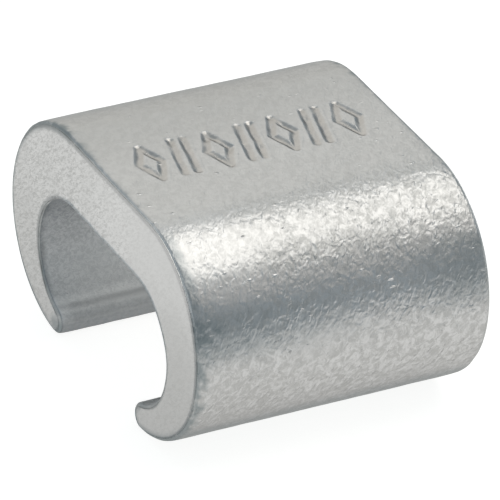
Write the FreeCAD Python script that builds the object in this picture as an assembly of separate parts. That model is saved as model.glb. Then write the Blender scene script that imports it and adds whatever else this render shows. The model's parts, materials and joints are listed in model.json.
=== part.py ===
import FreeCAD, Part
import math
import os

from FreeCAD import Vector

# C-type tap connector for overhead line work, before it is pressed.
# One length of drawn C section, lying on its two lips with the mouth down.
# The run conductor lies in one lobe and the tap conductor in the other.
# X crosses the mouth, Y runs along the conductors, Z is up.
# All sizes are in millimetres.

# Driving sizes of the section
seat_radius = 3.25       # bore of each lobe, for a stranded conductor of 25 square mm
seat_spacing = 6.74      # between the axes of the two seats
back_thickness = 3.71    # solid back above the seats
side_thickness = 3.21    # thickest place of each side wall
lip_thickness = 1.32     # under each seat, where the lips turn in
mouth_width = 7.70       # clear gap between the two lip tips

# Driving sizes of the cut length
body_length = 15.70      # as sawn from the drawn bar
edge_round = 0.22        # tumbled edge all round both sawn ends

# Sizes worked out from the above
body_height = lip_thickness + 2.0 * seat_radius + back_thickness
body_width = seat_spacing + 2.0 * (seat_radius + side_thickness)
lobe_radius = body_height / 2.0
seat_x = seat_spacing / 2.0
seat_z = lip_thickness + seat_radius
lobe_x = body_width / 2.0 - lobe_radius
lobe_z = lobe_radius
lip_x = mouth_width / 2.0
half_length = body_length / 2.0

HALVINGS = 50


def lip_tip():
    """The full round of a lip.

    Its circle touches the lobe from inside, the seat from outside and the
    upright line where the mouth begins. A larger round sits further from the
    mouth, so the one that also touches the seat is found by halving.
    Returns its centre height and its radius.
    """
    smallest = 0.0
    largest = lip_thickness
    for _ in range(HALVINGS):
        radius = (smallest + largest) / 2.0
        x = lip_x + radius
        drop = math.sqrt((lobe_radius - radius) ** 2 - (x - lobe_x) ** 2)
        z = lobe_z - drop
        gap = math.hypot(x - seat_x, z - seat_z) - seat_radius - radius
        if gap > 0.0:
            smallest = radius
        else:
            largest = radius
    return z, radius


def touch_point(centre, through, radius):
    """The point on a circle about centre, on the ray that passes through."""
    ray = through.sub(centre)
    return centre.add(ray.multiply(radius / ray.Length))


def mirrored(point):
    """The same point on the other side of the section's middle line."""
    return Vector(-point.x, point.y, point.z)


def half_outline(side):
    """Edges of one half of the section, from the back down to its lip and up inside.

    side is 1 for the +X half and -1 for its mirror image.
    """
    tip_z, tip_radius = lip_tip()
    lobe = Vector(lobe_x, 0.0, lobe_z)
    seat = Vector(seat_x, 0.0, seat_z)
    tip = Vector(lip_x + tip_radius, 0.0, tip_z)

    back_end = Vector(lobe_x, 0.0, body_height)
    lobe_side = Vector(lobe_x + lobe_radius, 0.0, lobe_z)
    lip_under = touch_point(lobe, tip, lobe_radius)
    lip_nose = Vector(lip_x, 0.0, tip_z)
    lip_top = touch_point(seat, tip, seat_radius)
    seat_side = Vector(seat_x + seat_radius, 0.0, seat_z)
    seat_top = Vector(seat_x, 0.0, seat_z + seat_radius)

    arcs = (
        (back_end, lobe_side, lip_under),
        (lip_under, lip_nose, lip_top),
        (lip_top, seat_side, seat_top),
    )
    if side < 0:
        arcs = [[mirrored(point) for point in arc] for arc in arcs]
    return [Part.Arc(*arc).toShape() for arc in arcs]


def flat_run(reach, height):
    """A straight edge across the middle, from -reach to +reach."""
    start = Vector(-reach, 0.0, height)
    end = Vector(reach, 0.0, height)
    return Part.LineSegment(start, end).toShape()


def section():
    """The closed C outline as a face in the XZ plane."""
    edges = half_outline(1) + half_outline(-1)
    edges.append(flat_run(lobe_x, body_height))
    edges.append(flat_run(seat_x, seat_z + seat_radius))
    ordered = Part.__sortEdges__(edges)
    return Part.Face(Part.Wire(ordered))


def sawn_length():
    """The section drawn out along Y and set down on its lips."""
    face = section()
    face.translate(Vector(0.0, -half_length, 0.0))
    bar = face.extrude(Vector(0.0, body_length, 0.0))
    lowest = bar.optimalBoundingBox(False, False).ZMin
    bar.translate(Vector(0.0, 0.0, -lowest))
    return bar


def at_an_end(edge):
    """True for an edge that lies wholly in one of the two sawn faces."""
    ends = [abs(vertex.Point.y) for vertex in edge.Vertexes]
    return min(ends) > half_length - 1e-6


def tumbled(bar):
    """The bar with every edge of its sawn ends rounded."""
    sharp = [edge for edge in bar.Edges if at_an_end(edge)]
    return bar.makeFillet(edge_round, sharp)


os.makedirs("parts", exist_ok=True)
clamp_body = tumbled(sawn_length())
clamp_body.exportStep("parts/clamp_body.step")
print("clamp_body valid:", clamp_body.isValid(), "volume mm3:", round(clamp_body.Volume, 1))
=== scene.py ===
"""Studio picture of a tin-plated C-type tap connector, built over its solid model.

The connector is one length of drawn copper C section, sawn off, tumbled and
tin-plated. Its skin here is one fine mesh with the same section as the solid:
the drawn walls carry the tumbling dents, the back carries a struck row of plain
marks, and the sawn ends carry a finer grain.

Sizes are in millimetres until they are written into a mesh, a light or a
camera, which are in metres. X crosses the mouth, Y runs along the conductors
and Z is up.
"""

import json
import logging
import math
from dataclasses import dataclass, field
from enum import Enum
from typing import Any, Optional, Sequence

import bmesh
import bpy
import numpy as np
from bpy.types import Camera, Light, Material, Mesh, Node, NodeSocket, NodeTree, Object
from mathutils import Matrix, Vector, noise


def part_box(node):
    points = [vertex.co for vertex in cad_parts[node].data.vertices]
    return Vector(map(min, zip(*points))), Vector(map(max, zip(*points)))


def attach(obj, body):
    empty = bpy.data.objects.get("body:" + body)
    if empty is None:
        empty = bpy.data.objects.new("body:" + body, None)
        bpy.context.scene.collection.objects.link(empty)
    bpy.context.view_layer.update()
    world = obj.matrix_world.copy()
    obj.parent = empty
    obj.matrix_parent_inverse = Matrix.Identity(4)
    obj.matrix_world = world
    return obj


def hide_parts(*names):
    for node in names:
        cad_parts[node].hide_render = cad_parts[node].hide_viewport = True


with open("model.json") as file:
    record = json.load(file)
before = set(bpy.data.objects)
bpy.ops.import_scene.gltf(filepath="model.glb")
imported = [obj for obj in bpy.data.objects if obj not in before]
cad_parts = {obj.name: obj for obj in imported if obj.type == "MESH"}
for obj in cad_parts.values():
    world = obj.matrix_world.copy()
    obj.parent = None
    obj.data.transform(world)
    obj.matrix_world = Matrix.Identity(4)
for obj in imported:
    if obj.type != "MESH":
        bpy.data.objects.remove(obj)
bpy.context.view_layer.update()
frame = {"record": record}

MM = 0.001
NODE = "clamp_body"
SKIN = "tin_plated_skin"
log = logging.getLogger("tap_connector")

# What the mesh keeps for each of its points: the place on the unrolled wall, the share of
# the grain, its painted light and shade, its painted dark shade, the dust and painted shade in a struck
# mark, and for a while the way out of the skin.
SPREAD = "spread"
BEATEN = "beaten"
PAINTED_LIGHT = "painted_light"
PAINTED_SHADE = "painted_shade"
DUST_AND_SHADE = "dust_and_shade"
OUTWARD = "outward"

# One number, or one for each of many points.
Numbers = float | np.ndarray

# Halvings that find the radius of a lip's tip.
TIP_HALVINGS = 50
# How far below the back, in millimetres, a point still counts as on it, and how squarely
# a point faces along Y that counts as in a sawn end.
BACK_SLACK = 0.01
SQUARE_ON = 0.99
# Where the patches' noise turns from bright to dull, and half the width of the turn, at its
# sharpest and at its most blurred.
PATCH_TURN = 0.5
PATCH_STEP = (0.02, 0.18)
# How far from its middle a nick's slope reaches, as a share of its cell.
NICK_SLOPE = 0.46


def linear(hex_colour: str) -> tuple[float, float, float, float]:
    """Turns an sRGB hex colour into the linear colour that a shader takes.

    Args:
        hex_colour: Six hex digits after a hash sign.

    Returns:
        Linear red, green and blue, and an alpha of one.
    """
    parts = [int(hex_colour[i : i + 2], 16) / 255 for i in (1, 3, 5)]
    red, green, blue = (c / 12.92 if c <= 0.04045 else ((c + 0.055) / 1.055) ** 2.4 for c in parts)
    return red, green, blue, 1.0


def add_node(
    tree: NodeTree,
    kind: str,
    settings: Optional[dict[str, Any]] = None,
    inputs: Optional[dict[Any, Any]] = None,
) -> Node:
    """Adds one shader node with its settings, values and links.

    Args:
        tree: The node tree that gets the node.
        kind: The node's type.
        settings: Values for the node's own properties.
        inputs: For each input, by name or number, a value or another node's output.

    Returns:
        The new node.
    """
    node = tree.nodes.new(kind)
    for name, value in (settings or {}).items():
        setattr(node, name, value)
    for name, value in (inputs or {}).items():
        if isinstance(value, NodeSocket):
            tree.links.new(value, node.inputs[name])
        else:
            node.inputs[name].default_value = value
    return node


def smooth_step(value: np.ndarray) -> np.ndarray:
    """Eases 0 to 1 with level ends, for values held between 0 and 1."""
    held = np.clip(value, 0.0, 1.0)
    return held * held * (3.0 - 2.0 * held)


def fade(value: np.ndarray, start: float, end: float) -> np.ndarray:
    """Eases from 0 where the value is at start to 1 where it is at end."""
    return smooth_step((value - start) / (end - start))


def lumps(places: np.ndarray, size: float) -> np.ndarray:
    """Noise between -1 and 1 at rows of x, y and z, with lumps as large as the size."""
    return np.array([noise.noise(Vector(place)) for place in places / size])


def keep(mesh: Mesh, name: str, values: np.ndarray) -> None:
    """Keeps a number or a vector for each point on the mesh, under a name."""
    kind, member = ("FLOAT_VECTOR", "vector") if values.ndim > 1 else ("FLOAT", "value")
    mesh.attributes.new(name, kind, "POINT").data.foreach_set(member, values.ravel())


def add_object(name: str, data: Mesh | Light | Camera) -> Object:
    """Adds an object to the scene.

    Args:
        name: What the object is called.
        data: Its mesh, light or lens.

    Returns:
        The new object.
    """
    made = bpy.data.objects.new(name, data)
    bpy.context.scene.collection.objects.link(made)
    return made


class Zone(Enum):
    """How a part of the skin was made. The value is its material's place on the mesh."""

    DRAWN = 0
    BORE = 1
    SAWN = 2


@dataclass(frozen=True)
class Circle:
    """A circle in the section's plane, in millimetres."""

    x: float
    z: float
    radius: float

    def direction_to(self, other: "Circle") -> float:
        """The angle from this centre to the other centre, in radians."""
        return math.atan2(other.z - self.z, other.x - self.x)


@dataclass
class Section:
    """The C outline, worked out from the solid's box and its conductor seats.

    Args:
        half_width: From the middle line to the outside of a lobe.
        height: From the ground to the back.
        seat: The conductor seat on the +X side.
        lip_thickness: Wall under a seat, where the lip turns in.
        mouth_width: Clear gap between the two lip tips.
    """

    half_width: float
    height: float
    seat: Circle
    lip_thickness: float = 1.32
    mouth_width: float = 7.70
    lobe: Circle = field(init=False)
    tip: Circle = field(init=False)

    def __post_init__(self) -> None:
        """Works out the lobe and the full-round tip of the +X side."""
        sunk = self.lip_thickness + self.seat.radius - self.seat.z
        radius = (self.height + sunk) / 2
        self.lobe = Circle(self.half_width - radius, self.height - radius, radius)
        self.tip = self._full_round()

    def _full_round(self) -> Circle:
        """Finds the circle that touches the lobe, the seat and the edge of the mouth.

        Returns:
            The circle of the +X lip's tip.
        """
        smallest, largest = 0.0, self.lip_thickness
        for _ in range(TIP_HALVINGS):
            radius = (smallest + largest) / 2
            x = self.mouth_width / 2 + radius
            z = self.lobe.z - math.sqrt((self.lobe.radius - radius) ** 2 - (x - self.lobe.x) ** 2)
            if math.hypot(x - self.seat.x, z - self.seat.z) > self.seat.radius + radius:
                smallest = radius
            else:
                largest = radius
        return Circle(x, z, radius)

    @staticmethod
    def _flat_then_arc(circle: Circle, end: float, count: int) -> tuple[np.ndarray, np.ndarray]:
        """Spaces points evenly from the middle line along a flat and round an arc.

        Args:
            circle: The arc's circle, whose top ends the flat.
            end: The arc's last angle, in radians, below the horizontal.
            count: How many steps to take.

        Returns:
            The points, and at each the unit ray out of the circle.
        """
        sweep = math.pi / 2 - end
        run = np.linspace(0.0, circle.x + circle.radius * sweep, count + 1)
        angle = math.pi / 2 - np.maximum(run - circle.x, 0.0) / circle.radius
        rays = np.stack([np.cos(angle), np.sin(angle)], axis=1)
        points = rays * circle.radius + [circle.x, circle.z]
        points[:, 0] = np.where(run < circle.x, run, points[:, 0])
        return points, rays

    def outline(self, along: int, round_tip: int) -> tuple[np.ndarray, np.ndarray]:
        """Draws the closed outline, clockwise as seen from the -Y end.

        It starts under the -X lip, runs over the back to the +X lip, round its tip,
        back through both seats and round the -X tip.

        Args:
            along: Steps over the back, and as many again through the seats. Even.
            round_tip: Steps round each lip tip.

        Returns:
            The points and the outward unit normals, without the repeated last point.
        """
        flip = np.array([-1.0, 1.0])
        first = self.lobe.direction_to(self.tip)
        outer, outer_rays = self._flat_then_arc(self.lobe, first, along // 2)
        inner, inner_rays = self._flat_then_arc(self.seat, self.seat.direction_to(self.tip), along // 2)
        last = self.tip.direction_to(self.seat) - 2 * math.pi
        turn = np.linspace(first, last, round_tip + 1)[1:-1]
        nose_rays = np.stack([np.cos(turn), np.sin(turn)], axis=1)
        nose = nose_rays * self.tip.radius + [self.tip.x, self.tip.z]
        points, normals = (
            np.concatenate([back[:0:-1] * flip, back, lip, bore[:0:-1], bore * flip, lip[::-1] * flip])
            for back, lip, bore in ((outer, nose, inner), (outer_rays, nose_rays, -inner_rays))
        )
        return points, normals


class Punch(Enum):
    """The plain shapes struck into the back. None is a letter or a number.

    Each value is the shape's lines, inside a box one unit wide and one unit tall.
    """

    LOZENGE = (((0.5, 0.0), (1.0, 0.5), (0.5, 1.0), (0.0, 0.5), (0.5, 0.0)),)
    SLASHES = (((0.0, 0.0), (0.45, 1.0)), ((0.55, 0.0), (1.0, 1.0)))


@dataclass
class StruckRow:
    """A row of plain punch marks along the back, struck by hand one after another.

    Args:
        marks: The punches in order, from the near end.
        pitch: From one mark to the next, along Y.
        tall: A mark's height, across the back.
        wide: A mark's width, along Y.
        middle: Where the row's middle line lies across the back.
        stroke: Width of the groove at its floor.
        shoulder: Width of each sloping groove wall.
        depth: Depth of the groove.
        burr: Height and width of the metal thrown up beside it.
        slant: How far a mark's top leans along the row.
        scatter: How much the hand varies the slant, the place across and the force.
        uneven: Length of the soft and hard places under the punch, the force's mean and its
            swing, and the least and the most that is left of it.
        margin: How far past the marks the row may touch the back, across and along.
        dusty_shade: How dark a groove is made, from 0 to 1, by the barrel's brown dust and by painted
            shade.
        dusty_shade_depth: Where that darkening reaches its full strength, as a share of the groove's depth.
        seed: Start of the random numbers behind the scatter.
    """

    marks: Sequence[Punch] = (Punch.LOZENGE, Punch.SLASHES) * 3 + (Punch.LOZENGE,)
    pitch: float = 1.79
    tall: float = 2.9
    wide: float = 1.20
    middle: float = -0.42
    stroke: float = 0.06
    shoulder: float = 0.26
    depth: float = 0.085
    burr: tuple[float, float] = (0.010, 0.07)
    slant: float = 0.16
    scatter: tuple[float, float, float] = (0.05, 0.06, 0.10)
    uneven: tuple[float, float, float, float, float] = (0.7, 0.9, 0.9, 0.45, 1.3)
    margin: tuple[float, float] = (0.35, 0.1)
    dusty_shade: float = 0.22
    dusty_shade_depth: float = 0.4
    seed: int = 7

    def holds(self, x: Numbers, y: Numbers) -> bool | np.ndarray:
        """Tells which places the row may touch.

        Args:
            x: A place across the back, or many.
            y: A place along the back, or as many.

        Returns:
            True or False for each place.
        """
        across = self.tall / 2 + self.margin[0]
        along = self.pitch * len(self.marks) / 2 + self.margin[1]
        return (abs(x - self.middle) < across) & (abs(y) < along)

    def relief(self, x: np.ndarray, y: np.ndarray) -> np.ndarray:
        """Works out how far the row lifts the back at some places.

        Args:
            x: Places across the back.
            y: Places along the back.

        Returns:
            The lift in millimetres, which is below zero in a groove.
        """
        chance = np.random.default_rng(self.seed)
        burr, burr_width = self.burr
        lift = np.zeros_like(x)
        for number, mark in enumerate(self.marks):
            centre = (number - (len(self.marks) - 1) / 2) * self.pitch
            lean, slip, force = chance.normal(0.0, self.scatter)
            distance = np.full_like(x, np.inf)
            for line in mark.value:
                ends = [
                    (
                        centre + (u - 0.5) * self.wide + (self.slant + lean) * (v - 0.5),
                        self.middle + slip - (v - 0.5) * self.tall,
                    )
                    for u, v in line
                ]
                for (y0, x0), (y1, x1) in zip(ends, ends[1:]):
                    step_y, step_x = y1 - y0, x1 - x0
                    share = ((y - y0) * step_y + (x - x0) * step_x) / (step_y**2 + step_x**2)
                    share = np.clip(share, 0.0, 1.0)
                    near = np.hypot(y - y0 - share * step_y, x - x0 - share * step_x)
                    distance = np.minimum(distance, near)
            brink = self.stroke / 2 + self.shoulder
            groove = fade(distance, brink, self.stroke / 2)
            rim = np.exp(-(((distance - brink) / burr_width) ** 2))
            lift += (burr * rim - self.depth * groove) * (1.0 + force)
        length, mean, swing, least, most_left = self.uneven
        hardness = lumps(np.column_stack([x, y, np.zeros_like(x)]), length)
        return lift * np.clip(mean + swing * hardness, least, most_left)


@dataclass
class TumblingDents:
    """The uneven skin that drawing and then tumbling in a barrel leave.

    Args:
        wave: Length and height of the slow waviness, in millimetres.
        dent: Length and height of the dents.
        edge_ease: How far in from a sawn end the walls fall away.
        edge_fall: How far they fall there.
        nick: Length and depth of the dents along the tumbled edges.
        nick_reach: How far in from a sawn end those dents lie.
        nick_fade: Heights between which those dents get shallower.
        nick_top: Their depth above that, as a share.
        nick_far: Their depth at the +Y end, as a share.
        nick_near_fade: Places along Y between which they get shallower towards that end.
        nick_low_fade: Heights between which they get deeper above the lips.
        sawn_share: How deep the waviness and the dents are on a sawn end, as a share.
    """

    wave: tuple[float, float] = (2.6, 0.012)
    dent: tuple[float, float] = (0.85, 0.012)
    edge_ease: float = 0.9
    edge_fall: float = 0.03
    nick: tuple[float, float] = (0.62, 0.11)
    nick_reach: float = 0.65
    nick_fade: tuple[float, float] = (7.0, 10.0)
    nick_top: float = 0.5
    nick_far: float = 0.3
    nick_near_fade: tuple[float, float] = (-2.0, 2.0)
    nick_low_fade: tuple[float, float] = (0.5, 3.5)
    sawn_share: float = 0.35

    def field_at(self, places: np.ndarray) -> np.ndarray:
        """Works out how far the skin stands out at some places.

        Args:
            places: Rows of x, y and z in millimetres.

        Returns:
            One height for each place in millimetres, none of them above zero.
        """
        waves = (self.wave, self.dent)
        height = sum(size * (lumps(places, length) - 1.0) for length, size in waves)
        return np.minimum(height, 0.0)

    def nicks(self, places: np.ndarray, from_end: np.ndarray) -> np.ndarray:
        """Works out how deep the dents along the tumbled edges are.

        Args:
            places: Rows of x, y and z in millimetres.
            from_end: How far each place is from the sawn end.

        Returns:
            One depth for each place, in millimetres.
        """
        _, y, z = places.T
        length, depth = self.nick
        share = 1.0 - (1.0 - self.nick_top) * fade(z, *self.nick_fade)
        share *= 1.0 - (1.0 - self.nick_far) * fade(y, *self.nick_near_fade)
        share *= fade(z, *self.nick_low_fade)
        reach = np.clip(1.0 - from_end / self.nick_reach, 0.0, 1.0)
        return depth * share * np.clip(lumps(places, length), 0.0, 1.0) * reach

    def fall(self, from_end: np.ndarray) -> np.ndarray:
        """How far the walls have fallen away at a distance from the sawn end."""
        return self.edge_fall * np.clip(1.0 - from_end / self.edge_ease, 0.0, 1.0) ** 2


@dataclass
class Spots:
    """The skin's points, with one value of each field for each point, in millimetres.

    Args:
        x: Across the mouth.
        y: Along the conductors.
        z: Height.
        aside: From the middle line, to either side.
        from_end: To the nearer sawn end.
        from_nose: To the full round of the nearer lip, negative within it.
        under_skin: Inwards from the outside of the section.
        sawn: True in a sawn end.
        outside: True on the outside of the C.
        broad: Noise between -1 and 1 with lumps of about two millimetres.
        lumpy: The same, with lumps of about half a millimetre.
        ragged: The same, three times finer.
    """

    x: np.ndarray
    y: np.ndarray
    z: np.ndarray
    aside: np.ndarray
    from_end: np.ndarray
    from_nose: np.ndarray
    under_skin: np.ndarray
    sawn: np.ndarray
    outside: np.ndarray
    broad: np.ndarray
    lumpy: np.ndarray
    ragged: np.ndarray


@dataclass(frozen=True)
class Region:
    """A part of the skin with soft limits, and what it adds to a map of the skin.

    A pair of limits says where the region is empty and where it is full. Four limits,
    from low to high, say where it begins, where it is full from and to, and where it ends.

    Args:
        amount: What it adds where it is full.
        x: Limits across the mouth, in millimetres.
        y: Limits along the conductors.
        z: Limits of height.
        aside: Limits of the distance from the middle line.
        from_end: Limits of the distance from the nearer sawn end.
        from_nose: Limits of the distance from the full round of a lip.
        blotchy: How far the half-millimetre noise changes the amount, as a share.
        rise: How much higher the last pair of height limits lies at the near end.
        near_end: Where along Y that rise begins, and where it is whole.
    """

    amount: float
    x: tuple[float, ...] = ()
    y: tuple[float, ...] = ()
    z: tuple[float, ...] = ()
    aside: tuple[float, ...] = ()
    from_end: tuple[float, ...] = ()
    from_nose: tuple[float, ...] = ()
    blotchy: float = 0.0
    rise: float = 0.0
    near_end: tuple[float, float] = (-6.0, -7.5)

    def on(self, spots: Spots) -> np.ndarray:
        """Works out what the region adds.

        Args:
            spots: The skin's points.

        Returns:
            One amount for each point.
        """
        amount = self.amount * (1.0 + self.blotchy * spots.lumpy)
        for name in ("x", "y", "z", "aside", "from_end", "from_nose"):
            limits, value = getattr(self, name), getattr(spots, name)
            if len(limits) == 4:
                amount = amount * fade(value, *limits[:2])
                limits = limits[:1:-1]
            if name == "z":
                value = value - self.rise * fade(spots.y, *self.near_end)
            if limits:
                amount = amount * fade(value, *limits)
        return amount


def total(regions: Sequence[Region], spots: Spots) -> np.ndarray:
    """What some regions add together, at each of the skin's points."""
    return sum(region.on(spots) for region in regions)


def most(regions: Sequence[Region], spots: Spots) -> np.ndarray:
    """The most that any one of some regions adds, at each of the skin's points."""
    return np.maximum.reduce([region.on(spots) for region in regions])


@dataclass(frozen=True)
class Band:
    """A painted dark band along an edge, whose inner border is uneven.

    Args:
        dark: How dark it is, from 0 to 1, as regions that add up.
        reach: Over what distance it fades, in millimetres, in the same way.
        full: How far it goes before it has faded out, in reaches.
        lumpy: How far the half-millimetre noise moves its border, in reaches.
        ragged: The same for the finest noise.
    """

    dark: Sequence[Region]
    reach: Sequence[Region]
    full: float
    lumpy: float = 0.0
    ragged: float = 0.0

    def on(self, distance: np.ndarray, spots: Spots) -> np.ndarray:
        """Works out how dark the band is.

        Args:
            distance: From the edge, for each point.
            spots: The skin's points.

        Returns:
            A darkness for each point.
        """
        moved = self.lumpy * spots.lumpy + self.ragged * spots.ragged
        inside = np.clip(self.full - distance / total(self.reach, spots) + moved, 0.0, 1.0)
        return total(self.dark, spots) * inside


@dataclass(frozen=True)
class GrainAndPaintedLight:
    """How much grain the skin keeps, and the light and shade painted into its colour.

    Grain is a share of the whole, a painted shade goes from -1 for all bright to 1 for all dull,
    and painted dark shade goes from 0 to 1. Regions add up, unless it says that the most counts.

    Args:
        smooth_painted_highlight: The near end of the +X shoulder, with less grain and a painted highlight.
            It goes into the grain and into the painted shade.
        wall_grain: Grain up the walls.
        beating: What that is multiplied by, more at the far end.
        ironed: The flat back, which the stamping die ironed.
        flat_grain: Grain there.
        shoulder_grain: What both are multiplied by, less on the -X shoulder.
        end_grain: Grain on a sawn end.
        broad: How far the broad noise changes the grain, on the walls and on a sawn end.
        wall_shades: Painted light and shade of the outside.
        haunch: The seats' walls, below the roof between them. The most counts.
        roof_shade: Painted shade of that roof.
        bore_shades: Painted light and shade up the seats' walls, as heights in millimetres and shades.
        bore_ends: Painted shade added in the seats towards the -Y end, duller at that end and brighter
            further in.
        end_shades: Painted shade of a sawn end, darker towards the bottom.
        rounded: The tumbled edges, which get the sawn ends' painted shade.
        rounded_low: More painted shade added on them, lower down.
        edge_band: A painted dark band on the outside, along the tumbled edges, which stands in for their
            dark reflection.
        painted_dark_patches: Places on the outside darkened with painted shade. The most counts.
        underside: Painted shade low on the outside, by the lips and near the floor.
        seat_band: A painted shadow band in the seats, along the tumbled edges.
        lip: Painted shade on the lips' tips.
        lip_shade_share: What that is multiplied by, less by the near end and away from the tips.
        seat_edge_shade: Painted shade on the edge of the +X seat above its lip.
        skin_band: A painted shade band on a sawn end, under the skin of the section, low down near the
            floor.
        spot: A dark spot on the -X lip's sawn end: its x and z, the distances from there
            between which it fades, and its darkness.
    """

    smooth_painted_highlight: Region = Region(-0.30, x=(3.065, 5.065), y=(-2.0, -6.0), z=(8.5, 9.5), rise=0.9)
    wall_grain: Sequence[Region] = (Region(1.0), Region(-0.20, z=(4.0, 7.0)))
    beating: Sequence[Region] = (Region(1.0), Region(0.20, y=(-3.0, 5.0)))
    ironed: Region = Region(1.0, aside=(5.765, 3.365), z=(9.4, 9.5))
    flat_grain: Sequence[Region] = (Region(0.30), Region(0.10, x=(-2.0, 4.0)))
    shoulder_grain: Sequence[Region] = (Region(1.0), Region(-0.55, x=(-3.0, -4.5), z=(8.5, 10.5)))
    end_grain: Sequence[Region] = (Region(1.0), Region(-0.70, x=(-3.0, 6.0)))
    broad: tuple[float, float] = (0.4, 0.6)
    wall_shades: Sequence[Region] = (
        # The back is painted bright from its middle to the +X shoulder, and a little on the -X side
        # at its far end.
        Region(-0.32, x=(-4.0, 0.5), z=(10.0, 11.2)),
        Region(0.256, x=(3.565, 4.865), z=(10.0, 11.2)),
        Region(-0.08, x=(1.0, -2.0), y=(1.0, 7.0), z=(10.0, 11.2)),
        # Painted shade: the lobes are duller below, most of all by the near end.
        Region(0.12, z=(8.0, 6.5)),
        Region(0.15, y=(0.0, -6.0), z=(6.5, 4.0)),
        # The +X one is also painted duller towards its far end, and in a stripe under its shoulder, which
        # dims its highlight there.
        Region(0.15, x=(5.065, 6.565), y=(-3.0, 6.0), z=(6.0, 7.5)),
        Region(0.25, x=(5.065, 6.565), y=(-5.5, -2.5, 1.0, 5.0), z=(9.7, 10.2, 10.4, 10.9)),
    )
    haunch: Sequence[Region] = (Region(1.0, aside=(4.67, 5.57)), Region(1.0, z=(3.0, 2.2)))
    roof_shade: float = -0.29
    bore_shades: Sequence[tuple[float, float]] = (
        (1.25, -0.30), (1.40, -0.50), (1.60, -0.40), (1.80, -0.16), (2.00, -0.13), (2.60, -0.17),
        (2.90, -0.16), (3.50, -0.08), (4.00, 0.08), (4.50, 0.13), (5.50, 0.24), (6.50, 0.30),
    )
    bore_ends: Sequence[Region] = (Region(0.05, y=(-5.0, -7.5)), Region(-0.08, y=(-5.5, -3.5)))
    end_shades: Sequence[Region] = (
        Region(0.34),
        Region(-0.20, z=(3.0, 9.0)),
        Region(0.06, x=(5.0, 8.0)),
        Region(-0.16, x=(-4.0, 2.0), z=(7.0, 9.5)),
    )
    rounded: Region = Region(1.0, from_end=(0.16, 0.06))
    rounded_low: Region = Region(0.25, z=(9.2, 7.0))
    # The painted dark band is dark and wide on the -X side, and on the +X side below the near shoulder.
    edge_band: Band = Band(
        dark=(
            Region(0.28),
            Region(0.47, x=(-1.0, -5.0)),
            Region(-0.196, x=(3.5, 5.5)),
            Region(0.666, x=(4.0, 7.0), y=(2.0, -2.0), z=(9.3, 8.4)),
            Region(0.10, x=(4.0, 7.0), y=(2.0, -2.0), z=(6.4, 8.2, 8.4, 9.3)),
        ),
        reach=(
            Region(0.18),
            Region(0.20, x=(-1.0, -5.0)),
            Region(0.26, x=(4.0, 7.0), y=(2.0, -2.0), z=(9.3, 8.4)),
            Region(0.90, x=(4.0, 7.0), y=(2.0, -2.0), z=(6.4, 8.2, 8.4, 9.3)),
        ),
        full=1.25,
        lumpy=1.2,
        ragged=0.6,
    )
    painted_dark_patches: Sequence[Region] = (
        # Painted shade half way up the +X lobe, at its near and at its far end, which widens the dark
        # reflection there.
        Region(0.44, x=(4.0, 6.0), y=(2.0, -7.0), z=(6.1, 7.3, 8.4, 9.2), blotchy=0.5, rise=0.3),
        Region(0.40, x=(4.0, 6.0), y=(3.0, 7.0), z=(6.2, 7.6, 9.3, 10.0), blotchy=0.5),
        # Painted shade behind the near edge of the +X shoulder, which dims the highlight there, and on the
        # -X shoulder.
        Region(
            0.40, x=(4.8, 5.8), y=(-7.1, -7.5), z=(8.6, 9.4, 11.2, 11.45), from_end=(0.08, 0.20),
            blotchy=0.8,
        ),
        Region(0.30, x=(-5.6, -7.2), z=(8.5, 9.5)),
    )
    underside: Sequence[Region] = (Region(0.46, z=(2.8, 1.8)), Region(0.35, z=(1.2, 0.4)))
    seat_band: Band = Band(
        dark=(Region(0.45, aside=(4.57, 5.97)), Region(-0.315, aside=(4.57, 5.97), z=(5.8, 7.2))),
        reach=(Region(0.28),),
        full=1.5,
        lumpy=0.5,
    )
    lip: Sequence[Region] = (
        Region(0.37, from_nose=(0.11, -0.03)),
        Region(0.50, z=(1.15, 0.75), from_nose=(0.11, -0.03)),
        Region(0.30, x=(0.0, 3.0), from_nose=(0.11, -0.03)),
    )
    lip_shade_share: Sequence[Region] = (Region(1.0), Region(-0.5, y=(-6.9, -7.4), z=(0.85, 1.15)))
    seat_edge_shade: Region = Region(0.45, x=(2.5, 3.3), z=(2.3, 1.5))
    skin_band: Band = Band(dark=(Region(1.0, z=(3.2, 0.6)),), reach=(Region(0.45),), full=1.15)
    spot: tuple[float, float, float, float, float] = (-4.4, 0.6, 0.7, 0.2, 0.6)

    def grain(self, spots: Spots) -> np.ndarray:
        """Works out how much of its grain the skin keeps.

        The stamping die irons the flat back, so most of the grain is on the lobes.

        Args:
            spots: The skin's points.

        Returns:
            A share of the grain for each point.
        """
        broad_wall, broad_end = (share * spots.broad for share in self.broad)
        wall = total(self.wall_grain, spots)
        wall *= total((*self.beating, self.smooth_painted_highlight), spots) + broad_wall
        wall += (total(self.flat_grain, spots) - wall) * self.ironed.on(spots)
        wall *= total(self.shoulder_grain, spots)
        return np.where(spots.sawn, total(self.end_grain, spots) * (1.0 + broad_end), wall)

    def painted_light_and_shade(self, spots: Spots) -> np.ndarray:
        """Works out the light and shade painted into the skin's colour, as how far it is from its mean
        brightness.

        Args:
            spots: The skin's points.

        Returns:
            A painted shade for each point: 1 is all dull, -1 all bright.
        """
        bore = np.interp(spots.z, *zip(*self.bore_shades))
        bore = self.roof_shade + most(self.haunch, spots) * (bore - self.roof_shade)
        bore += total(self.bore_ends, spots)
        shade = np.where(spots.outside, total((*self.wall_shades, self.smooth_painted_highlight), spots), bore)
        end = total(self.end_shades, spots)
        shade += (end + self.rounded_low.on(spots) - shade) * self.rounded.on(spots)
        return np.where(spots.sawn, end, shade)

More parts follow.
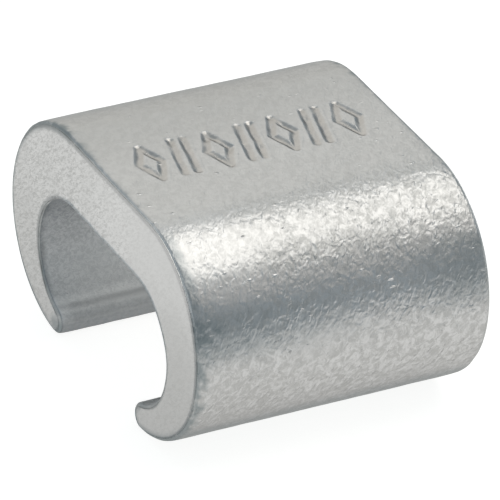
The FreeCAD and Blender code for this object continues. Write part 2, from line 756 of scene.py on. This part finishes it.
    def painted_shading(self, spots: Spots) -> np.ndarray:
        """Works out how much painted shade darkens the skin.

        Args:
            spots: The skin's points.

        Returns:
            A share from 0 to 1 for each point.
        """
        wall = np.maximum(self.edge_band.on(spots.from_end, spots), total(self.underside, spots))
        wall = np.maximum(wall, most(self.painted_dark_patches, spots))
        lip = total(self.lip, spots) * total(self.lip_shade_share, spots)
        bore = np.maximum(lip, self.seat_band.on(spots.from_end, spots))
        bore = np.maximum(bore, self.seat_edge_shade.on(spots))
        x, z, outer, inner, dark = self.spot
        end = dark * fade(np.hypot(spots.x - x, spots.z - z), outer, inner)
        end = np.maximum(end, self.skin_band.on(spots.under_skin, spots))
        return np.where(spots.sawn, end, np.where(spots.outside, wall, bore))


@dataclass
class ConnectorSkin:
    """The connector's whole visible surface, as one closed mesh.

    Args:
        section: The C outline.
        length: Sawn length along Y.
        dents: The unevenness that is pressed into it.
        row: The marks struck into its back.
        grain_and_light: How much grain it keeps, and the light and shade painted into its colour.
        edge_round: Radius of the tumbled edges.
        edge_wear: How far into the section the rounding reaches, as a share of that radius.
            Each row gives how many runs over the back or the seats and how many lip tips
            lie before its place in the outline, and the share there.
        along: Mesh steps over the back, and again through the seats.
        round_tip: Mesh steps round a lip tip, and across a sawn end.
        stations: Mesh steps along the straight walls.
        edge_steps: Mesh steps round a tumbled edge.
        sawn_steps: How many of those look as the sawn end does.
        row_cuts: How often an edge under the struck row is cut, to be fine enough for it.
        tip_pull: How far from a lip tip the sawn end's points follow its curve.
        lump_sizes: Lumps of the broad, the lumpy and the ragged noise.
    """

    section: Section
    length: float
    dents: TumblingDents
    row: StruckRow
    grain_and_light: GrainAndPaintedLight
    edge_round: float = 0.22
    edge_wear: Sequence[tuple[float, float, float]] = (
        (0.0, 0.0, 1.0), (0.4, 0.0, 1.0), (0.65, 0.0, 0.6), (0.85, 0.0, 0.6), (0.95, 0.0, 1.0),
        (1.17, 1.0, 1.0), (1.25, 1.0, 0.35), (1.9, 1.0, 0.35), (2.0, 1.0, 1.0), (2.0, 2.0, 1.0),
    )
    along: int = 300
    round_tip: int = 12
    stations: int = 100
    edge_steps: int = 5
    sawn_steps: int = 3
    row_cuts: int = 2
    tip_pull: float = 2.5
    lump_sizes: tuple[float, float, float] = (1.8, 0.45, 0.15)

    def _rings(self) -> list[tuple[float, float]]:
        """Lays out the rings of points along the walls.

        Returns:
            Inset and y of each ring, from the -Y end to the +Y end.
        """
        turn = np.linspace(0.0, math.pi / 2, self.edge_steps + 1)
        inset = self.edge_round * (1.0 - np.sin(turn))
        depth = self.edge_round * (1.0 - np.cos(turn))
        near = [(i, d - self.length / 2) for i, d in zip(inset, depth)]
        inside = np.linspace(near[-1][1], -near[-1][1], self.stations + 1)[1:-1]
        return near + [(0.0, y) for y in inside] + [(i, -y) for i, y in reversed(near)]

    def _walls(self, points: np.ndarray, normals: np.ndarray) -> tuple[np.ndarray, np.ndarray]:
        """Draws the outline out along Y, with its edges rounded.

        Args:
            points: The outline.
            normals: The outward unit normal at each of its points.

        Returns:
            The points, one row for each ring, and the way out of the skin at each.
        """
        runs, tips, shares = np.transpose(self.edge_wear)
        worn = np.interp(np.arange(len(points)), runs * self.along + tips * self.round_tip, shares)
        places, rays = [], []
        for inset, y in self._rings():
            flat = points - normals * (inset * worn)[:, None]
            places.append(np.insert(flat, 1, y, axis=1))
            out = 1.0 - inset / self.edge_round
            rays.append(np.insert(normals * out, 1, math.copysign(math.sqrt(1.0 - out**2), y), axis=1))
        return np.array(places), np.array(rays)

    def _sides(self) -> tuple[np.ndarray, ...]:
        """Finds where the four sides of a sawn end lie in the outline.

        Returns:
            The outside, the seats, the -X tip and the +X tip, each as points' numbers.
        """
        run, tip = np.arange(self.along + 1), np.arange(self.round_tip + 1)
        half = self.along + self.round_tip
        return run, half + self.along - run, -tip % (2 * half), self.along + tip

    def _end_grid(self, ring: np.ndarray) -> np.ndarray:
        """Spreads points across a sawn end, from the outside of the C to its inside.

        Args:
            ring: The end's closed outline.

        Returns:
            A grid of points, one row for each step over the back.
        """
        outer, inner, left, right = (ring[side] for side in self._sides())
        across = np.linspace(0.0, 1.0, self.round_tip + 1)[None, :, None]
        straight = outer[:, None] * (1 - across) + inner[:, None] * across
        run = np.concatenate([[0.0], np.cumsum(np.linalg.norm(np.diff(outer, axis=0), axis=1))])
        grid = straight.copy()
        for tip, distance, row in ((left, run, 0), (right, run[-1] - run, -1)):
            pull = np.clip(1.0 - distance / self.tip_pull, 0.0, 1.0)
            grid += pull[:, None, None] * (tip - straight[row])
        return grid

    def _end_faces(self, first: int, inner: int) -> np.ndarray:
        """Joins the points of a sawn end into faces.

        Args:
            first: The number of its ring's first point in the mesh.
            inner: The number of its first point within the ring.

        Returns:
            Rows of four points' numbers, for faces that look along +Y.
        """
        n, m = self.along, self.round_tip
        numbers = np.empty((n + 1, m + 1), dtype=int)
        numbers[1:-1, 1:-1] = inner + np.arange((n - 1) * (m - 1)).reshape(n - 1, m - 1)
        outside, seats, left, right = self._sides()
        numbers[0], numbers[-1] = first + left, first + right
        numbers[:, 0], numbers[:, -1] = first + outside, first + seats
        corners = (numbers[:-1, :-1], numbers[1:, :-1], numbers[1:, 1:], numbers[:-1, 1:])
        return np.stack(corners, axis=-1).reshape(-1, 4)

    def build(self) -> Object:
        """Makes the closed mesh, with its dents and marks and the finishes' three zones.

        Returns:
            The new object.
        """
        points, normals = self.section.outline(self.along, self.round_tip)
        walls, rays = self._walls(points, normals)
        count = len(points)
        on_walls = len(walls) * count
        ends = [self._end_grid(walls[ring])[1:-1, 1:-1].reshape(-1, 3) for ring in (0, -1)]
        ways = [np.tile([0.0, side, 0.0], (len(end), 1)) for end, side in zip(ends, (-1.0, 1.0))]
        places = np.concatenate([walls.reshape(-1, 3), *ends])

        numbers = np.arange(on_walls).reshape(-1, count)
        beside = np.roll(numbers, -1, axis=1)
        quads = np.stack([numbers[:-1], numbers[1:], beside[1:], beside[:-1]], axis=-1).reshape(-1, 4)
        near = self._end_faces(0, on_walls)[:, ::-1]
        far = self._end_faces(on_walls - count, on_walls + len(ends[0]))
        zones = np.full((len(walls) - 1, count), Zone.BORE.value)
        zones[:, : self.along] = Zone.DRAWN.value
        zones[: self.sawn_steps] = zones[-self.sawn_steps :] = Zone.SAWN.value
        zones = np.append(zones, np.full(len(near) + len(far), Zone.SAWN.value))

        mesh = bpy.data.meshes.new(SKIN)
        mesh.from_pydata(places.tolist(), [], np.concatenate([quads, near, far]).tolist())
        mesh.polygons.foreach_set("material_index", zones)
        self._keep_maps(mesh, points, places, on_walls)
        keep(mesh, OUTWARD, np.concatenate([rays.reshape(-1, 3), *ways]))
        self._refine_under_row(mesh)
        self._press(mesh)
        for polygon in mesh.polygons:
            polygon.use_smooth = True
        mesh.validate()
        return add_object(SKIN, mesh)

    def _keep_maps(self, mesh: Mesh, outline: np.ndarray, places: np.ndarray, on_walls: int) -> None:
        """Keeps on the mesh what its finishes read: places on the unrolled wall, grain, and painted light
        and shade.

        Args:
            mesh: The mesh.
            outline: The points once round the section.
            places: The mesh's points, with the walls' points first.
            on_walls: How many of them are on the walls.
        """
        steps = np.linalg.norm(np.diff(outline, axis=0), axis=1)
        laid = places.copy()
        laid[:on_walls, 0] = np.tile(np.append(0.0, np.cumsum(steps)), on_walls // len(outline))
        laid[:on_walls, 2] = 0.0
        keep(mesh, SPREAD, laid * MM)
        spots = self._spots(places, on_walls, len(outline))
        keep(mesh, BEATEN, self.grain_and_light.grain(spots))
        # Painted light and shade, and painted dark shade, that the finishes mix into their colour.
        keep(mesh, PAINTED_LIGHT, self.grain_and_light.painted_light_and_shade(spots))
        keep(mesh, PAINTED_SHADE, self.grain_and_light.painted_shading(spots))

    def _spots(self, places: np.ndarray, on_walls: int, round_section: int) -> Spots:
        """Measures the skin's points.

        Args:
            places: Rows of x, y and z, with the walls' points first.
            on_walls: How many of them are on the walls.
            round_section: How many points go once round the section.

        Returns:
            The measured points.
        """
        x, y, z = places.T
        aside = np.abs(x)
        lobe, tip = self.section.lobe, self.section.tip
        number = np.arange(len(places))
        sawn = number >= on_walls
        under_skin = lobe.radius - np.hypot(np.maximum(aside - lobe.x, 0.0), z - lobe.z)
        from_nose = np.hypot(aside - tip.x, z - tip.z) - tip.radius
        under_skin = np.where(aside < tip.x, np.minimum(under_skin, -from_nose), under_skin)
        outside = ~sawn & (number % round_section <= self.along)
        from_end = self.length / 2 - np.abs(y)
        uneven = (lumps(places, size) for size in self.lump_sizes)
        return Spots(x, y, z, aside, from_end, from_nose, under_skin, sawn, outside, *uneven)

    def _under_row(self, x: Numbers, y: Numbers, z: Numbers) -> bool | np.ndarray:
        """True for each place on the back that the row may touch."""
        return (z > self.section.height - BACK_SLACK) & self.row.holds(x, y)

    def _refine_under_row(self, mesh: Mesh) -> None:
        """Cuts the back's faces finer where the row is struck.

        Args:
            mesh: The mesh, still in millimetres.
        """
        work = bmesh.new()
        work.from_mesh(mesh)
        edges = [edge for edge in work.edges if all(self._under_row(*vertex.co) for vertex in edge.verts)]
        bmesh.ops.subdivide_edges(work, edges=edges, cuts=self.row_cuts, use_grid_fill=True)
        work.to_mesh(mesh)
        work.free()

    def _press(self, mesh: Mesh) -> None:
        """Presses the dents and the struck row into the skin, and turns it to metres.

        Args:
            mesh: The mesh, still in millimetres.
        """
        places, rays = np.empty((2, len(mesh.vertices) * 3))
        mesh.vertices.foreach_get("co", places)
        mesh.attributes[OUTWARD].data.foreach_get("vector", rays)
        places, rays = places.reshape(-1, 3), rays.reshape(-1, 3)
        rays /= np.linalg.norm(rays, axis=1, keepdims=True)
        x, y, z = places.T
        sawn = np.abs(rays[:, 1]) > SQUARE_ON
        from_end = self.length / 2 - np.abs(y)
        lobe = self.section.lobe
        past_lobe = x - np.clip(x, -lobe.x, lobe.x)
        outside = rays[:, 0] * past_lobe + rays[:, 2] * (z - lobe.z) > 0.0
        lift = self.dents.field_at(places) * np.where(sawn, self.dents.sawn_share, 1.0)
        lift -= np.where(outside & ~sawn, self.dents.fall(from_end), 0.0)
        edge = ~sawn & (from_end < self.dents.nick_reach)
        lift[edge] -= self.dents.nicks(places[edge], from_end[edge])
        struck = self._under_row(x, y, z)
        groove = self.row.relief(x[struck], y[struck])
        lift[struck] += groove
        # Dust and painted shade darken the grooves, fully from part of the way down.
        dust_and_shade = np.zeros(len(places))
        dust_and_shade[struck] = self.row.dusty_shade * fade(-groove, 0.0, self.row.dusty_shade_depth * self.row.depth)
        keep(mesh, DUST_AND_SHADE, dust_and_shade)
        places += rays * np.minimum(lift, 0.0)[:, None]
        mesh.vertices.foreach_set("co", (places * MM).ravel())
        mesh.attributes.remove(mesh.attributes[OUTWARD])
        mesh.update()


def turned(lean: float, wraps: bool) -> tuple[float, float, float]:
    """Works out the turn of a pattern that leans in its own surface.

    Args:
        lean: On a wall, from round the section towards +Y. On a sawn end, from +X up.
            In degrees.
        wraps: True on a wall.

    Returns:
        Turns about X, Y and Z, in radians.
    """
    angle = math.radians(lean)
    return (0.0, 0.0, angle) if wraps else (0.0, -angle, 0.0)


class Grain(Enum):
    """The shape of one layer of surface grain."""

    ROLLING = "rolling hills, as noise draws them"
    DENTED = "round dents that meet in sharp ridges"
    NICKED = "single sharp nicks with smooth skin between"


@dataclass(frozen=True)
class Relief:
    """One layer of grain, too fine for the mesh.

    Args:
        grain: The layer's shape.
        size: Width of one feature, in millimetres.
        depth: Height of one feature, in millimetres.
        detail: How many finer octaves ride on it.
        stretch: How many times longer than wide a feature is.
        lean: The long way's turn in the surface, in degrees.
        share: For nicks, the brightest cell colour that holds one. Few cells are dark, so
            0.13 leaves three nicks in a hundred cells, and 0.38 about a third of them.
        curl: How far rolling hills are stirred into curls.
        rough: How strong the finer octaves of rolling hills are, from 0 to 1.
        ironed: False where the layer is as deep on the ironed flat as elsewhere.
    """

    grain: Grain
    size: float
    depth: float = 0.0
    detail: float = 0.0
    stretch: float = 1.0
    lean: float = 0.0
    share: float = 0.3
    curl: float = 0.4
    rough: float = 0.6
    ironed: bool = True

    def height(self, tree: NodeTree, place: NodeSocket, wraps: bool) -> NodeSocket:
        """Adds the nodes that draw the layer's shape.

        Args:
            tree: The material's nodes.
            place: Where the surface is, in metres.
            wraps: True where the grain follows a wall round the section.

        Returns:
            The layer's height, from 0 in a dent to 1.
        """
        across = self.size * MM
        unit = add_node(
            tree, "ShaderNodeMapping", {"vector_type": "TEXTURE"},
            {"Vector": place, "Rotation": turned(self.lean, wraps),
             "Scale": (across * self.stretch, across, across)},
        ).outputs["Vector"]
        if self.grain is Grain.ROLLING:
            return add_node(
                tree, "ShaderNodeTexNoise",
                inputs={"Vector": unit, "Scale": 1.0, "Detail": self.detail,
                        "Roughness": self.rough, "Distortion": self.curl},
            ).outputs["Fac"]
        stir = add_node(tree, "ShaderNodeTexNoise", inputs={"Vector": unit, "Scale": 1.0, "Detail": 0.0})
        shift = add_node(
            tree, "ShaderNodeVectorMath", {"operation": "ADD"}, {0: stir.outputs["Color"], 1: unit}
        ).outputs["Vector"]
        cells = add_node(
            tree, "ShaderNodeTexVoronoi", {"feature": "F1"},
            {"Vector": shift, "Scale": 1.0, "Detail": self.detail},
        )
        if self.grain is Grain.DENTED:
            return cells.outputs["Distance"]
        slope = add_node(
            tree, "ShaderNodeMapRange", {"interpolation_type": "SMOOTHSTEP"},
            {"Value": cells.outputs["Distance"], "From Min": 0.0, "From Max": NICK_SLOPE},
        ).outputs["Result"]
        empty = add_node(
            tree, "ShaderNodeMath", {"operation": "GREATER_THAN"},
            {0: cells.outputs["Color"], 1: self.share},
        ).outputs["Value"]
        return add_node(
            tree, "ShaderNodeMath", {"operation": "MAXIMUM"}, {0: slope, 1: empty}
        ).outputs["Value"]

    def add(
        self,
        tree: NodeTree,
        place: NodeSocket,
        beaten: NodeSocket,
        under: Optional[NodeSocket],
        wraps: bool,
    ) -> NodeSocket:
        """Adds the layer's relief on top of the layers before it.

        Args:
            tree: The material's nodes.
            place: Where the surface is, in metres.
            beaten: How much of the grain the place keeps, from 0 to 1.
            under: The normal that the earlier layers leave, if there are any.
            wraps: True where the grain follows a wall round the section.

        Returns:
            The normal with this layer added.
        """
        height = self.height(tree, place, wraps)
        inputs = {"Height": height, "Distance": self.depth * MM, "Strength": beaten if self.ironed else 1.0}
        if under is not None:
            inputs["Normal"] = under
        return add_node(tree, "ShaderNodeBump", inputs=inputs).outputs["Normal"]


@dataclass(frozen=True)
class PlatedFinish:
    """A tin-plated metal whose grain and patchy bright and dull tone depend on how it was made.

    Args:
        name: What the material is called.
        bright: Colour of fresh plating, as sRGB hex.
        dull: Colour of dull plating, as sRGB hex. The painted shade mixes towards it too.
        patches: The shape of the bright and dull patches. They have no depth.
        crisp: How sharply a patch ends, from 0 for a blur to 1 for an edge.
        sparse: How much rarer dull patches are than bright ones, from 0 to 0.1.
        mottle: How far the patches go from bright to dull, from 0 for even to 1 for all the way.
        roughness: Gloss of the fresh and the dull plating.
        layers: The grain, coarse to fine.
        wraps: True where the grain follows a wall round the section.
        grazing: How much of the white rim a clean metal shows is left, as sRGB hex.
        painted_shade: Colour of the painted shade, as sRGB hex.
        painted_shade_roughness: Gloss of that painted shade.
        painted_glints: The shape of short bright flecks, if there are any: painted glints. They have no
            depth.
        glint_colour: Colour of those painted glints, as sRGB hex.
        dusty_shade: Colour of the dust and painted shade in the struck marks, as sRGB hex.
    """

    name: str
    bright: str
    dull: str
    patches: Relief
    crisp: float
    roughness: tuple[float, float]
    layers: tuple[Relief, ...]
    sparse: float = 0.0
    mottle: float = 1.0
    wraps: bool = True
    grazing: str = "#C8C8C8"
    painted_shade: str = "#7F8789"
    painted_shade_roughness: float = 0.50
    painted_glints: Optional[Relief] = None
    glint_colour: str = "#F4F3F0"
    dusty_shade: str = "#9C8C79"

    def build(self) -> Material:
        """Makes the material's nodes.

        Returns:
            The material.
        """
        material = bpy.data.materials.new(self.name)
        material.use_nodes = True
        tree = material.node_tree
        tree.nodes.clear()
        if self.wraps:
            place = add_node(tree, "ShaderNodeAttribute", {"attribute_name": SPREAD}).outputs["Vector"]
        else:
            place = add_node(tree, "ShaderNodeTexCoord").outputs["Object"]
        cloud = self.patches.height(tree, place, self.wraps)
        sharp, blurred = PATCH_STEP
        step = sharp * self.crisp + blurred * (1.0 - self.crisp)
        turn = PATCH_TURN + self.sparse
        share = add_node(
            tree, "ShaderNodeMapRange",
            inputs={"Value": cloud, "From Min": turn - step, "From Max": turn + step,
                    "To Min": 0.5 - self.mottle / 2, "To Max": 0.5 + self.mottle / 2},
        ).outputs["Result"]
        beaten, painted_light, painted_shade, dust_and_shade = (
            add_node(tree, "ShaderNodeAttribute", {"attribute_name": name}).outputs["Fac"]
            for name in (BEATEN, PAINTED_LIGHT, PAINTED_SHADE, DUST_AND_SHADE)
        )
        share = add_node(
            tree, "ShaderNodeMix", {"data_type": "FLOAT"}, {"Factor": beaten, 2: 0.5, 3: share}
        ).outputs[0]
        # The painted light and shade shifts the share towards bright or dull.
        share = add_node(
            tree, "ShaderNodeMath", {"operation": "ADD", "use_clamp": True}, {0: share, 1: painted_light}
        ).outputs["Value"]
        # Each mix has its factor and its two colours. None is the colour so far.
        mixes = [(share, linear(self.bright), linear(self.dull))]
        # Painted glints in short bright flecks, if there are any.
        if self.painted_glints:
            mixes.append((self.painted_glints.height(tree, place, self.wraps), linear(self.glint_colour), None))
        # Then the painted shade, and the dust and painted shade in the struck marks.
        mixes += [(painted_shade, None, linear(self.painted_shade)), (dust_and_shade, None, linear(self.dusty_shade))]
        colour = None
        for factor, first, second in mixes:
            colour = add_node(
                tree, "ShaderNodeMix", {"data_type": "RGBA"},
                {"Factor": factor, 6: first or colour, 7: second or colour},
            ).outputs[2]
        satin = add_node(
            tree, "ShaderNodeMapRange",
            inputs={"Value": share, "To Min": self.roughness[0], "To Max": self.roughness[1]},
        ).outputs["Result"]
        satin = add_node(
            tree, "ShaderNodeMix", {"data_type": "FLOAT"},
            {"Factor": painted_shade, 2: satin, 3: self.painted_shade_roughness},
        ).outputs[0]
        normal = None
        for layer in self.layers:
            normal = layer.add(tree, place, beaten, normal, self.wraps)
        metal = add_node(
            tree, "ShaderNodeBsdfPrincipled",
            inputs={"Base Color": colour, "Metallic": 1.0, "Roughness": satin,
                    "Specular Tint": linear(self.grazing), "Normal": normal},
        )
        add_node(tree, "ShaderNodeOutputMaterial", inputs={"Surface": metal.outputs["BSDF"]})
        return material


@dataclass(frozen=True)
class TumbledTinPlate(PlatedFinish):
    """Electroplated tin over drawn copper, tumbled in a barrel.

    Tumbling leaves the soft plating satin and covers it with small pressed dents.
    Their sharp ridges break every highlight into flecks. The real grain goes down to
    about 0.08 mm and is drawn no finer than 0.15 mm, so that it shows.
    """

    name: str = "tumbled_tin_plate"
    bright: str = "#C6C5C4"
    dull: str = "#B0AFAD"
    patches: Relief = Relief(
        Grain.ROLLING, size=0.36, detail=3.0, stretch=0.42 / 0.36, lean=150.0, curl=0.8, rough=0.8
    )
    crisp: float = 0.5
    roughness: tuple[float, float] = (0.32, 0.44)
    layers: tuple[Relief, ...] = (
        Relief(Grain.ROLLING, size=0.46, depth=0.048, detail=1.0, stretch=1.1, lean=150.0, curl=0.9),
        Relief(Grain.ROLLING, size=0.21, depth=0.027, stretch=1.9, lean=152.0, curl=0.9),
        Relief(Grain.NICKED, size=0.16, depth=0.013, stretch=2.6, lean=152.0, share=0.38),
        Relief(Grain.NICKED, size=0.18, depth=0.026, stretch=2.2, lean=97.0, share=0.13, ironed=False),
    )
    # Painted glints: short bright flecks with no depth.
    painted_glints: Optional[Relief] = Relief(Grain.NICKED, size=0.15, stretch=3.0, lean=98.0, share=0.05)


@dataclass(frozen=True)
class BoreTinPlate(PlatedFinish):
    """The same plating inside the two seats, where the barrel's media hardly reach.

    The drawn bore keeps its matt plating, so it looks smoother than the outside, with faint
    blotches. Its very pale colour is painted light against the dim light in the seats, and its
    dark colour takes the painted shade up the seats' walls.
    """

    name: str = "bore_tin_plate"
    bright: str = "#F4F4F3"
    dull: str = "#94979A"
    patches: Relief = Relief(
        Grain.ROLLING, size=0.20, detail=3.0, stretch=0.24 / 0.20, lean=90.0, curl=0.8, rough=0.8
    )
    crisp: float = 0.6
    mottle: float = 0.20
    roughness: tuple[float, float] = (0.56, 0.70)
    layers: tuple[Relief, ...] = (
        Relief(Grain.ROLLING, size=0.50, depth=0.014, detail=2.0),
        Relief(Grain.NICKED, size=0.15, depth=0.022, stretch=1.3, lean=145.0, share=0.15),
        Relief(Grain.ROLLING, size=0.12, depth=0.010, detail=1.0),
    )
    # The painted shade in the seats is darker.
    painted_shade: str = "#63686B"


@dataclass(frozen=True)
class SawnTinPlate(PlatedFinish):
    """The same plating over a sawn and tumbled end.

    The saw left a matt grain under the thin plating, so an end scatters light
    more evenly than the drawn walls and looks paler and sandy. Its finest grain, of
    about 0.05 mm, is drawn at 0.09 mm, so that it shows.
    """

    name: str = "sawn_tin_plate"
    bright: str = "#E6E5E4"
    dull: str = "#BAB9B7"
    patches: Relief = Relief(
        Grain.ROLLING, size=0.13, detail=2.4, stretch=0.35 / 0.13, lean=37.0, curl=0.8, rough=0.8
    )
    crisp: float = 0.55
    sparse: float = 0.03
    mottle: float = 0.50
    roughness: tuple[float, float] = (0.40, 0.52)
    layers: tuple[Relief, ...] = (
        Relief(Grain.ROLLING, size=0.50, depth=0.015, detail=2.0),
        Relief(Grain.DENTED, size=0.16, depth=0.016, stretch=2.3, lean=37.0),
        Relief(Grain.ROLLING, size=0.09, depth=0.012, detail=1.0, stretch=2.3, lean=37.0),
    )
    wraps: bool = False


@dataclass
class Connector:
    """The tap connector: its skin, and the three finishes on it.

    Args:
        skin: The visible surface.
        drawn: The finish outside.
        bore: The finish in the seats.
        sawn: The finish of the two ends.
    """

    skin: ConnectorSkin
    drawn: PlatedFinish = TumbledTinPlate()
    bore: PlatedFinish = BoreTinPlate()
    sawn: PlatedFinish = SawnTinPlate()

    def build(self) -> Object:
        """Builds and dresses the skin, and puts it in the solid's place.

        Returns:
            The skin's object.
        """
        piece = self.skin.build()
        finishes = {Zone.DRAWN: self.drawn, Zone.BORE: self.bore, Zone.SAWN: self.sawn}
        for zone in Zone:
            piece.data.materials.append(finishes[zone].build())
        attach(piece, "root")
        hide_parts(NODE)
        return piece


@dataclass(frozen=True)
class Softbox:
    """A rectangular studio light of even brightness, aimed at the connector.

    Args:
        name: What the light is called.
        azimuth: Its direction round the connector, in degrees. 0 is in front of the -Y end.
        elevation: Its direction above the floor, in degrees.
        distance: From the connector, in millimetres.
        size: Width and height, in millimetres.
        radiance: Brightness of its face.
        colour: Its tint, as sRGB hex.
    """

    name: str
    azimuth: float
    elevation: float
    distance: float
    size: tuple[float, float]
    radiance: float
    colour: str = "#FFFFFF"

    def build(self) -> Object:
        """Makes the light.

        Returns:
            The light's object.
        """
        width, height = (side * MM for side in self.size)
        light = bpy.data.lights.new(self.name, "AREA")
        light.shape = "RECTANGLE"
        light.size, light.size_y = width, height
        light.energy = self.radiance * math.pi * width * height
        light.color = linear(self.colour)[:3]
        lamp = add_object(self.name, light)
        away = heading(self.azimuth, self.elevation)
        lamp.location = away * self.distance * MM
        lamp.rotation_mode = "QUATERNION"
        lamp.rotation_quaternion = away.to_track_quat("Z", "Y")
        return lamp


def heading(azimuth: float, elevation: float) -> Vector:
    """The unit direction from the connector at two angles in degrees."""
    a, e = math.radians(azimuth), math.radians(elevation)
    return Vector((math.sin(a) * math.cos(e), -math.cos(a) * math.cos(e), math.sin(e)))


@dataclass
class Studio:
    """Pale floor, soft lights and the dim room around them.

    Args:
        floor_colour: Colour of the light table's sheet, as sRGB hex.
        floor_glow: How brightly the sheet is lit from below.
        glow_colour: Colour of that light, as sRGB hex.
        floor_roughness: How matt it is.
        floor_size: Its width, in millimetres.
        room_colour: Colour of the light that comes from the room, as sRGB hex.
        room_radiance: Brightness of the room.
        lights: The softboxes.
    """

    floor_colour: str = "#989896"
    floor_glow: float = 0.87
    glow_colour: str = "#FFFFFE"
    floor_roughness: float = 0.9
    floor_size: float = 4000.0
    room_colour: str = "#98A6AF"
    room_radiance: float = 0.985
    lights: Sequence[Softbox] = (
        Softbox(
            "overhead_softbox", azimuth=180.0, elevation=66.0, distance=220.0, size=(190.0, 177.0),
            radiance=1.82, colour="#FFFAF2",
        ),
        Softbox(
            "left_panel", azimuth=-102.0, elevation=24.0, distance=620.0, size=(580.0, 620.0),
            radiance=0.765, colour="#FFF6E9",
        ),
        Softbox(
            "front_panel", azimuth=-60.0, elevation=34.0, distance=620.0, size=(420.0, 380.0),
            radiance=0.30, colour="#FFFCF7",
        ),
        Softbox(
            "rear_card", azimuth=128.0, elevation=42.0, distance=85.0, size=(44.0, 26.0),
            radiance=0.48, colour="#FFE6CE",
        ),
        Softbox(
            "edge_card", azimuth=13.0, elevation=24.0, distance=620.0, size=(300.0, 300.0),
            radiance=0.75, colour="#FFF6EA",
        ),
    )

    def build(self) -> None:
        """Makes the floor, the room's light and the softboxes."""
        half = self.floor_size * MM / 2
        mesh = bpy.data.meshes.new("studio_floor")
        corners = [(-half, -half, 0.0), (half, -half, 0.0), (half, half, 0.0), (-half, half, 0.0)]
        mesh.from_pydata(corners, [], [(0, 1, 2, 3)])
        mesh.materials.append(self._sheet())
        floor = add_object("studio_floor", mesh)
        world = bpy.data.worlds.new("dim_room")
        world.use_nodes = True
        tree = world.node_tree
        tree.nodes.clear()
        glow = add_node(
            tree, "ShaderNodeBackground",
            inputs={"Color": linear(self.room_colour), "Strength": self.room_radiance},
        )
        add_node(tree, "ShaderNodeOutputWorld", inputs={"Surface": glow.outputs["Background"]})
        bpy.context.scene.world = world
        for softbox in self.lights:
            softbox.build()

    def _sheet(self) -> Material:
        """Makes the light table's matt sheet, which lights the part a little from below.

        Returns:
            The sheet's material.
        """
        material = bpy.data.materials.new("light_table")
        material.use_nodes = True
        sheet = material.node_tree.nodes["Principled BSDF"].inputs
        sheet["Base Color"].default_value = linear(self.floor_colour)
        sheet["Roughness"].default_value = self.floor_roughness
        sheet["Emission Color"].default_value = linear(self.glow_colour)
        sheet["Emission Strength"].default_value = self.floor_glow
        return material


@dataclass(frozen=True)
class PhotoCamera:
    """The long lens that looks down on one end and one lobe of the connector.

    Args:
        azimuth: The camera's direction round the connector, in degrees.
        elevation: Its direction above the floor, in degrees.
        roll: How far the picture is turned, in degrees.
        distance: From the aim point, in millimetres.
        aim: The point in the middle of the picture, in millimetres.
        focal_px: Focal length, in pixels of the picture.
        picture_px: Width of the picture, in pixels.
        sensor: Width of the sensor, in millimetres.
        clip: The nearest and the farthest distance that it sees, in metres.
    """

    azimuth: float = 59.714
    elevation: float = 32.015
    roll: float = -4.356
    distance: float = 315.51
    aim: tuple[float, float, float] = (-2.111, 1.393, 4.012)
    focal_px: float = 6503.4
    picture_px: float = 500.0
    sensor: float = 36.0
    clip: tuple[float, float] = (0.01, 20.0)

    def build(self) -> Object:
        """Makes the camera and gives it to the scene.

        Returns:
            The camera's object.
        """
        lens = bpy.data.cameras.new("photo_camera")
        lens.sensor_width = self.sensor
        lens.lens = self.focal_px / self.picture_px * self.sensor
        lens.clip_start, lens.clip_end = self.clip
        camera = add_object("photo_camera", lens)
        back = heading(self.azimuth, self.elevation)
        level = Vector((-back.y, back.x, 0.0)).normalized()
        rise = back.cross(level)
        roll = Matrix.Rotation(-math.radians(self.roll), 3, "Z")
        turn = Matrix((level, rise, back)).transposed() @ roll
        camera.rotation_mode = "QUATERNION"
        camera.rotation_quaternion = turn.to_quaternion()
        camera.location = (Vector(self.aim) + back * self.distance) * MM
        bpy.context.scene.camera = camera
        return camera


def measured_section() -> tuple[Section, float]:
    """Reads the section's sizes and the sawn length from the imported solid.

    Returns:
        The section and the length, in millimetres.
    """
    low, high = (Vector(corner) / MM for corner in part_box(NODE))
    seat = next(m for m in frame["record"]["mounts"] if m["name"] == "tap_seat")
    x, _, z = (value / MM for value in seat["pos_m"])
    section = Section(high.x, high.z, Circle(x, z, seat["dims"]["r_mm"]))
    return section, high.y - low.y


def main() -> None:
    """Builds the camera, the studio and the connector, in that order."""
    logging.basicConfig(level=logging.INFO, format="%(message)s")
    bpy.context.scene.view_settings.view_transform = "Standard"
    PhotoCamera().build()
    log.info("camera placed")
    Studio().build()
    log.info("studio lit")
    section, length = measured_section()
    skin = ConnectorSkin(section, length, TumblingDents(), StruckRow(), GrainAndPaintedLight())
    piece = Connector(skin).build()
    log.info("%s: %d faces", piece.name, len(piece.data.polygons))


if __name__ == "__main__":
    main()
